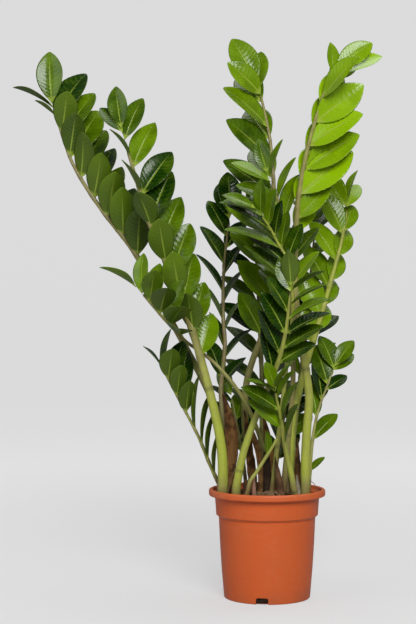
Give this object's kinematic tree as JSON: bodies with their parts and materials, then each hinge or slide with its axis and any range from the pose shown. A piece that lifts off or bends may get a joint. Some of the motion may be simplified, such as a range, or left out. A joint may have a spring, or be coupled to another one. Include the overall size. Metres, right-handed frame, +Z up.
{
  "type": "potted zz plant",
  "caption": "Zz plant with arching glossy compound leaves on thick stems, growing from tubers in a tapered terracotta-coloured plastic nursery pot with a rolled lip",
  "frame": {"origin": "centre of the pot's flat base, on the surface it stands on", "axes": "+Z up; +Y from the front to the back, the front being the side where the drain notch and the crossing stem show; +X to the right seen from the front"},
  "size_m": [0.6695, 0.3481, 1.029],
  "materials": {
    "terracotta_plastic": "satin moulded plastic, terracotta orange, faint scuffs on the lip",
    "potting_soil": "dark crumbly potting mix",
    "zz_leaf": "waxy glossy green leaflets with a pale midrib, on olive to yellow-green stems",
    "dry_husk": "dry papery brown sheath",
    "old_wood": "rough dark brown stump or bud",
    "young_bud": "smooth pinkish bud",
    "tuber_skin": "thin tan tuber skin"
  },
  "bodies": {
    "root": {"bark_chip": "dry_husk", "brown_bud": "old_wood", "cut_stub": "old_wood", "frond_back_centre": "zz_leaf", "frond_back_dark": "zz_leaf", "frond_back_right": "zz_leaf", "frond_centre_left": "zz_leaf", "frond_centre_mid": "zz_leaf", "frond_centre_top": "zz_leaf", "frond_front_centre": "zz_leaf", "frond_front_low": "zz_leaf", "frond_left_crossing": "zz_leaf", "frond_left_inner": "zz_leaf", "frond_left_low": "zz_leaf", "frond_left_outer": "zz_leaf", "frond_low_back_left": "zz_leaf", "frond_low_back_right": "zz_leaf", "frond_right_low": "zz_leaf", "frond_right_outer": "zz_leaf", "frond_right_top": "zz_leaf", "frond_young_shoot": "zz_leaf", "husk_back": "dry_husk", "husk_broad": "dry_husk", "husk_curled": "dry_husk", "husk_dark": "dry_husk", "husk_pale": "dry_husk", "husk_right": "dry_husk", "nursery_pot": "terracotta_plastic", "old_stump": "old_wood", "pink_bud": "young_bud", "potting_soil": "potting_soil", "root_clump": "dry_husk", "tuber_back": "tuber_skin", "tuber_front": "tuber_skin", "tuber_left": "tuber_skin", "tuber_right": "tuber_skin", "tuber_small": "tuber_skin"}
  },
  "joints": []
}
